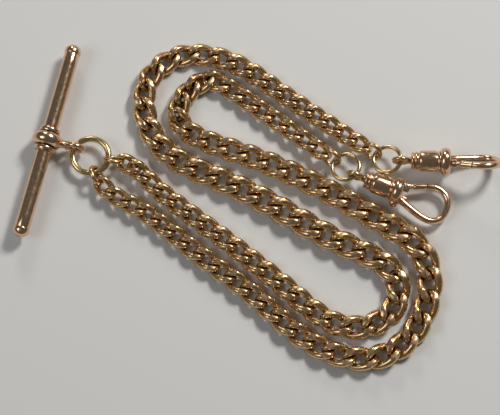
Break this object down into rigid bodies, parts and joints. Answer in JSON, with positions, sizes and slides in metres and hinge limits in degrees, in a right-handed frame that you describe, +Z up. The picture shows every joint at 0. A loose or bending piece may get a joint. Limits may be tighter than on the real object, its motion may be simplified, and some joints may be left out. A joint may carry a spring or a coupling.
{
  "type": "pocket watch chain",
  "caption": "Double strand of graduated flat curb links from a swivelling T-bar to two swivel dog clips with sprung gates.",
  "frame": {"origin": "middle of the bounding box on the surface the chain lies on", "axes": "+Z up from the surface; +X along the lie, from the T-bar to the clips; +Y across, towards the T-bar's upper end"},
  "size_m": [0.0851, 0.0588, 0.0068],
  "materials": {
    "link_gold": "polished, filed flats worn satin",
    "ring_gold": "polished",
    "rose_gold": "polished",
    "rivet_gold": "polished",
    "spring_steel": "satin"
  },
  "bodies": {
    "ring": {"main_ring": "ring_gold"},
    "t_swivel": {"t_swivel": "rose_gold"},
    "t_bar": {"t_bar": "rose_gold", "stop_ring_n": "rose_gold", "stop_ring_s": "rose_gold", "cap_n": "rose_gold", "cap_s": "rose_gold"},
    "links_a01": {"links_a01": "link_gold"},
    "links_a02": {"links_a02": "link_gold"},
    "links_a03": {"links_a03": "link_gold"},
    "links_a04": {"links_a04": "link_gold"},
    "links_a05": {"links_a05": "link_gold"},
    "links_a06": {"links_a06": "link_gold"},
    "links_a07": {"links_a07": "link_gold"},
    "links_a08": {"links_a08": "link_gold"},
    "links_a09": {"links_a09": "link_gold"},
    "links_a10": {"links_a10": "link_gold"},
    "links_a11": {"links_a11": "link_gold"},
    "links_a12": {"links_a12": "link_gold"},
    "links_a13": {"links_a13": "link_gold"},
    "links_a14": {"links_a14": "link_gold"},
    "links_a15": {"links_a15": "link_gold"},
    "links_a16": {"links_a16": "link_gold"},
    "links_a17": {"links_a17": "link_gold"},
    "links_a18": {"links_a18": "link_gold"},
    "end_ring_a": {"end_ring_a": "ring_gold"},
    "swivel_a": {"swivel_a": "rose_gold"},
    "clip_a": {"barrel_a": "rose_gold", "collar_a": "rose_gold", "hook_a": "rose_gold", "rivet_a": "rivet_gold", "spring_a": "spring_steel"},
    "gate_a": {"gate_a": "rose_gold"},
    "links_b01": {"links_b01": "link_gold"},
    "links_b02": {"links_b02": "link_gold"},
    "links_b03": {"links_b03": "link_gold"},
    "links_b04": {"links_b04": "link_gold"},
    "links_b05": {"links_b05": "link_gold"},
    "links_b06": {"links_b06": "link_gold"},
    "links_b07": {"links_b07": "link_gold"},
    "links_b08": {"links_b08": "link_gold"},
    "links_b09": {"links_b09": "link_gold"},
    "links_b10": {"links_b10": "link_gold"},
    "links_b11": {"links_b11": "link_gold"},
    "links_b12": {"links_b12": "link_gold"},
    "links_b13": {"links_b13": "link_gold"},
    "links_b14": {"links_b14": "link_gold"},
    "links_b15": {"links_b15": "link_gold"},
    "links_b16": {"links_b16": "link_gold"},
    "links_b17": {"links_b17": "link_gold"},
    "links_b18": {"links_b18": "link_gold"},
    "end_ring_b": {"end_ring_b": "ring_gold"},
    "swivel_b": {"swivel_b": "rose_gold"},
    "clip_b": {"barrel_b": "rose_gold", "collar_b": "rose_gold", "hook_b": "rose_gold", "rivet_b": "rivet_gold", "spring_b": "spring_steel"},
    "gate_b": {"gate_b": "rose_gold"}
  },
  "joints": [
    {"name": "t_swivel_rock", "type": "hinge", "parent": "ring", "child": "t_swivel", "pos_m": [-0.03185, 0.01014, 0.00196], "axis": [-0.4741, -0.8805, 0], "range_deg": [-6, 6]},
    {"name": "t_bar_turn", "type": "hinge", "parent": "t_swivel", "child": "t_bar", "pos_m": [-0.03668, 0.01137, 0.0027], "axis": [0.247, 0.969, 0], "continuous": true},
    {"name": "flex_a01", "type": "hinge", "parent": "ring", "child": "links_a01", "pos_m": [-0.02597, 0.00816, 0.00196], "axis": [0.1564, 0.9877, 0], "range_deg": [-8, 8]},
    {"name": "flex_a02", "type": "hinge", "parent": "links_a01", "child": "links_a02", "pos_m": [-0.02169, 0.00696, 0.00163], "axis": [-0.5733, -0.8193, 0], "range_deg": [-8, 8]},
    {"name": "flex_a03", "type": "hinge", "parent": "links_a02", "child": "links_a03", "pos_m": [-0.0173, 0.00271, 0.00145], "axis": [-0.6719, -0.7407, 0], "range_deg": [-8, 8]},
    {"name": "flex_a04", "type": "hinge", "parent": "links_a03", "child": "links_a04", "pos_m": [-0.00971, -0.0031, 0.00118], "axis": [0.5982, 0.8014, 0], "range_deg": [-8, 8]},
    {"name": "flex_a05", "type": "hinge", "parent": "links_a04", "child": "links_a05", "pos_m": [-0.00177, -0.00924, 0.00117], "axis": [0.6247, 0.7808, 0], "range_deg": [-8, 8]},
    {"name": "flex_a06", "type": "hinge", "parent": "links_a05", "child": "links_a06", "pos_m": [0.00633, -0.01594, 0.00121], "axis": [-0.6583, -0.7528, 0], "range_deg": [-8, 8]},
    {"name": "flex_a07", "type": "hinge", "parent": "links_a06", "child": "links_a07", "pos_m": [0.01543, -0.02185, 0.00126], "axis": [-0.1651, -0.9863, 0], "range_deg": [-8, 8]},
    {"name": "flex_a08", "type": "hinge", "parent": "links_a07", "child": "links_a08", "pos_m": [0.02459, -0.01668, 0.0013], "axis": [-0.9752, 0.2213, 0], "range_deg": [-8, 8]},
    {"name": "flex_a09", "type": "hinge", "parent": "links_a08", "child": "links_a09", "pos_m": [0.01771, -0.00831, 0.00135], "axis": [-0.4121, -0.9111, 0], "range_deg": [-8, 8]},
    {"name": "flex_a10", "type": "hinge", "parent": "links_a09", "child": "links_a10", "pos_m": [0.00675, -0.00251, 0.00139], "axis": [0.5149, 0.8572, 0], "range_deg": [-8, 8]},
    {"name": "flex_a11", "type": "hinge", "parent": "links_a10", "child": "links_a11", "pos_m": [-0.00411, 0.00348, 0.00135], "axis": [0.4272, 0.9042, 0], "range_deg": [-8, 8]},
    {"name": "flex_a12", "type": "hinge", "parent": "links_a11", "child": "links_a12", "pos_m": [-0.01486, 0.00863, 0.0013], "axis": [-0.5986, -0.8011, 0], "range_deg": [-8, 8]},
    {"name": "flex_a13", "type": "hinge", "parent": "links_a12", "child": "links_a13", "pos_m": [-0.02006, 0.01843, 0.00126], "axis": [-0.9991, -0.0419, 0], "range_deg": [-8, 8]},
    {"name": "flex_a14", "type": "hinge", "parent": "links_a13", "child": "links_a14", "pos_m": [-0.01461, 0.02715, 0.00121], "axis": [0.3669, -0.9302, 0], "range_deg": [-8, 8]},
    {"name": "flex_a15", "type": "hinge", "parent": "links_a14", "child": "links_a15", "pos_m": [-0.00435, 0.02625, 0.00117], "axis": [-0.395, -0.9187, 0], "range_deg": [-8, 8]},
    {"name": "flex_a16", "type": "hinge", "parent": "links_a15", "child": "links_a16", "pos_m": [0.00401, 0.02073, 0.00118], "axis": [0.5903, 0.8071, 0], "range_deg": [-8, 8]},
    {"name": "flex_a17", "type": "hinge", "parent": "links_a16", "child": "links_a17", "pos_m": [0.01181, 0.01521, 0.00145], "axis": [0.573, 0.8196, 0], "range_deg": [-8, 8]},
    {"name": "flex_a18", "type": "hinge", "parent": "links_a17", "child": "links_a18", "pos_m": [0.01686, 0.01175, 0.00163], "axis": [-0.5554, -0.8316, 0], "range_deg": [-8, 8]},
    {"name": "end_ring_a_rock", "type": "hinge", "parent": "links_a18", "child": "end_ring_a", "pos_m": [0.02084, 0.00913, 0.00196], "axis": [0.5461, 0.8377, 0], "range_deg": [-10, 10]},
    {"name": "eye_a_rock", "type": "hinge", "parent": "end_ring_a", "child": "swivel_a", "pos_m": [0.02516, 0.00754, 0.00308], "axis": [0.1276, 0.9918, 0], "range_deg": [-8, 8]},
    {"name": "clip_a_turn", "type": "hinge", "parent": "swivel_a", "child": "clip_a", "pos_m": [0.02696, 0.00748, 0.00313], "axis": [0.9988, -0.0349, 0.0331], "continuous": true},
    {"name": "gate_a_open", "type": "hinge", "parent": "clip_a", "child": "gate_a", "pos_m": [0.03434, 0.00657, 0.00462], "axis": [-0.0153, -0.883, -0.4692], "range_deg": [-30, 0], "stiffness_Nm_per_rad": 0.0002, "springref_deg": 8.59},
    {"name": "flex_b01", "type": "hinge", "parent": "ring", "child": "links_b01", "pos_m": [-0.02821, 0.00562, 0.00196], "axis": [0.9613, 0.2757, 0], "range_deg": [-8, 8]},
    {"name": "flex_b02", "type": "hinge", "parent": "links_b01", "child": "links_b02", "pos_m": [-0.02562, 0.0019, 0.00164], "axis": [-0.6102, -0.7923, 0], "range_deg": [-8, 8]},
    {"name": "flex_b03", "type": "hinge", "parent": "links_b02", "child": "links_b03", "pos_m": [-0.02022, -0.00098, 0.00145], "axis": [-0.5274, -0.8496, 0], "range_deg": [-8, 8]},
    {"name": "flex_b04", "type": "hinge", "parent": "links_b03", "child": "links_b04", "pos_m": [-0.01262, -0.0068, 0.00118], "axis": [0.631, 0.7758, 0], "range_deg": [-8, 8]},
    {"name": "flex_b05", "type": "hinge", "parent": "links_b04", "child": "links_b05", "pos_m": [-0.00465, -0.01294, 0.00117], "axis": [0.5982, 0.8013, 0], "range_deg": [-8, 8]},
    {"name": "flex_b06", "type": "hinge", "parent": "links_b05", "child": "links_b06", "pos_m": [0.00339, -0.01976, 0.00122], "axis": [-0.6824, -0.731, 0], "range_deg": [-8, 8]},
    {"name": "flex_b07", "type": "hinge", "parent": "links_b06", "child": "links_b07", "pos_m": [0.01229, -0.02615, 0.00126], "axis": [-0.3828, -0.9238, 0], "range_deg": [-8, 8]},
    {"name": "flex_b08", "type": "hinge", "parent": "links_b07", "child": "links_b08", "pos_m": [0.0234, -0.02615, 0.00131], "axis": [-0.4933, 0.8699, 0], "range_deg": [-8, 8]},
    {"name": "flex_b09", "type": "hinge", "parent": "links_b08", "child": "links_b09", "pos_m": [0.02981, -0.01637, 0.00136], "axis": [-0.983, 0.1838, 0], "range_deg": [-8, 8]},
    {"name": "flex_b10", "type": "hinge", "parent": "links_b09", "child": "links_b10", "pos_m": [0.02582, -0.00529, 0.00139], "axis": [0.5979, 0.8016, 0], "range_deg": [-8, 8]},
    {"name": "flex_b11", "type": "hinge", "parent": "links_b10", "child": "links_b11", "pos_m": [0.01517, 0.00091, 0.00134], "axis": [0.5013, 0.8653, 0], "range_deg": [-8, 8]},
    {"name": "flex_b12", "type": "hinge", "parent": "links_b11", "child": "links_b12", "pos_m": [0.00466, 0.00636, 0.00129], "axis": [-0.417, -0.9089, 0], "range_deg": [-8, 8]},
    {"name": "flex_b13", "type": "hinge", "parent": "links_b12", "child": "links_b13", "pos_m": [-0.00591, 0.01048, 0.00125], "axis": [-0.333, -0.9429, 0], "range_deg": [-8, 8]},
    {"name": "flex_b14", "type": "hinge", "parent": "links_b13", "child": "links_b14", "pos_m": [-0.0144, 0.01657, 0.0012], "axis": [0.9641, 0.2657, 0], "range_deg": [-8, 8]},
    {"name": "flex_b15", "type": "hinge", "parent": "links_b14", "child": "links_b15", "pos_m": [-0.00867, 0.02322, 0.00115], "axis": [-0.1267, -0.9919, 0], "range_deg": [-8, 8]},
    {"name": "flex_b16", "type": "hinge", "parent": "links_b15", "child": "links_b16", "pos_m": [-0.0003, 0.01802, 0.00127], "axis": [0.6015, 0.7989, 0], "range_deg": [-8, 8]},
    {"name": "flex_b17", "type": "hinge", "parent": "links_b16", "child": "links_b17", "pos_m": [0.0048, 0.01426, 0.00145], "axis": [0.5883, 0.8086, 0], "range_deg": [-8, 8]},
    {"name": "flex_b18", "type": "hinge", "parent": "links_b17", "child": "links_b18", "pos_m": [0.00976, 0.01069, 0.00164], "axis": [-0.5845, -0.8114, 0], "range_deg": [-8, 8]},
    {"name": "end_ring_b_rock", "type": "hinge", "parent": "links_b18", "child": "end_ring_b", "pos_m": [0.01363, 0.0079, 0.00196], "axis": [0.5855, 0.8107, 0], "range_deg": [-10, 10]},
    {"name": "eye_b_rock", "type": "hinge", "parent": "end_ring_b", "child": "swivel_b", "pos_m": [0.01717, 0.00482, 0.00312], "axis": [0.723, 0.6908, 0], "range_deg": [-8, 8]},
    {"name": "clip_b_turn", "type": "hinge", "parent": "swivel_b", "child": "clip_b", "pos_m": [0.01885, 0.0042, 0.00296], "axis": [0.9361, -0.3407, -0.0872], "continuous": true},
    {"name": "gate_b_open", "type": "hinge", "parent": "clip_b", "child": "gate_b", "pos_m": [0.02631, 0.00298, 0.00231], "axis": [0.082, -0.0298, 0.9962], "range_deg": [-30, 0], "stiffness_Nm_per_rad": 0.0002, "springref_deg": 8.59}
  ]
}
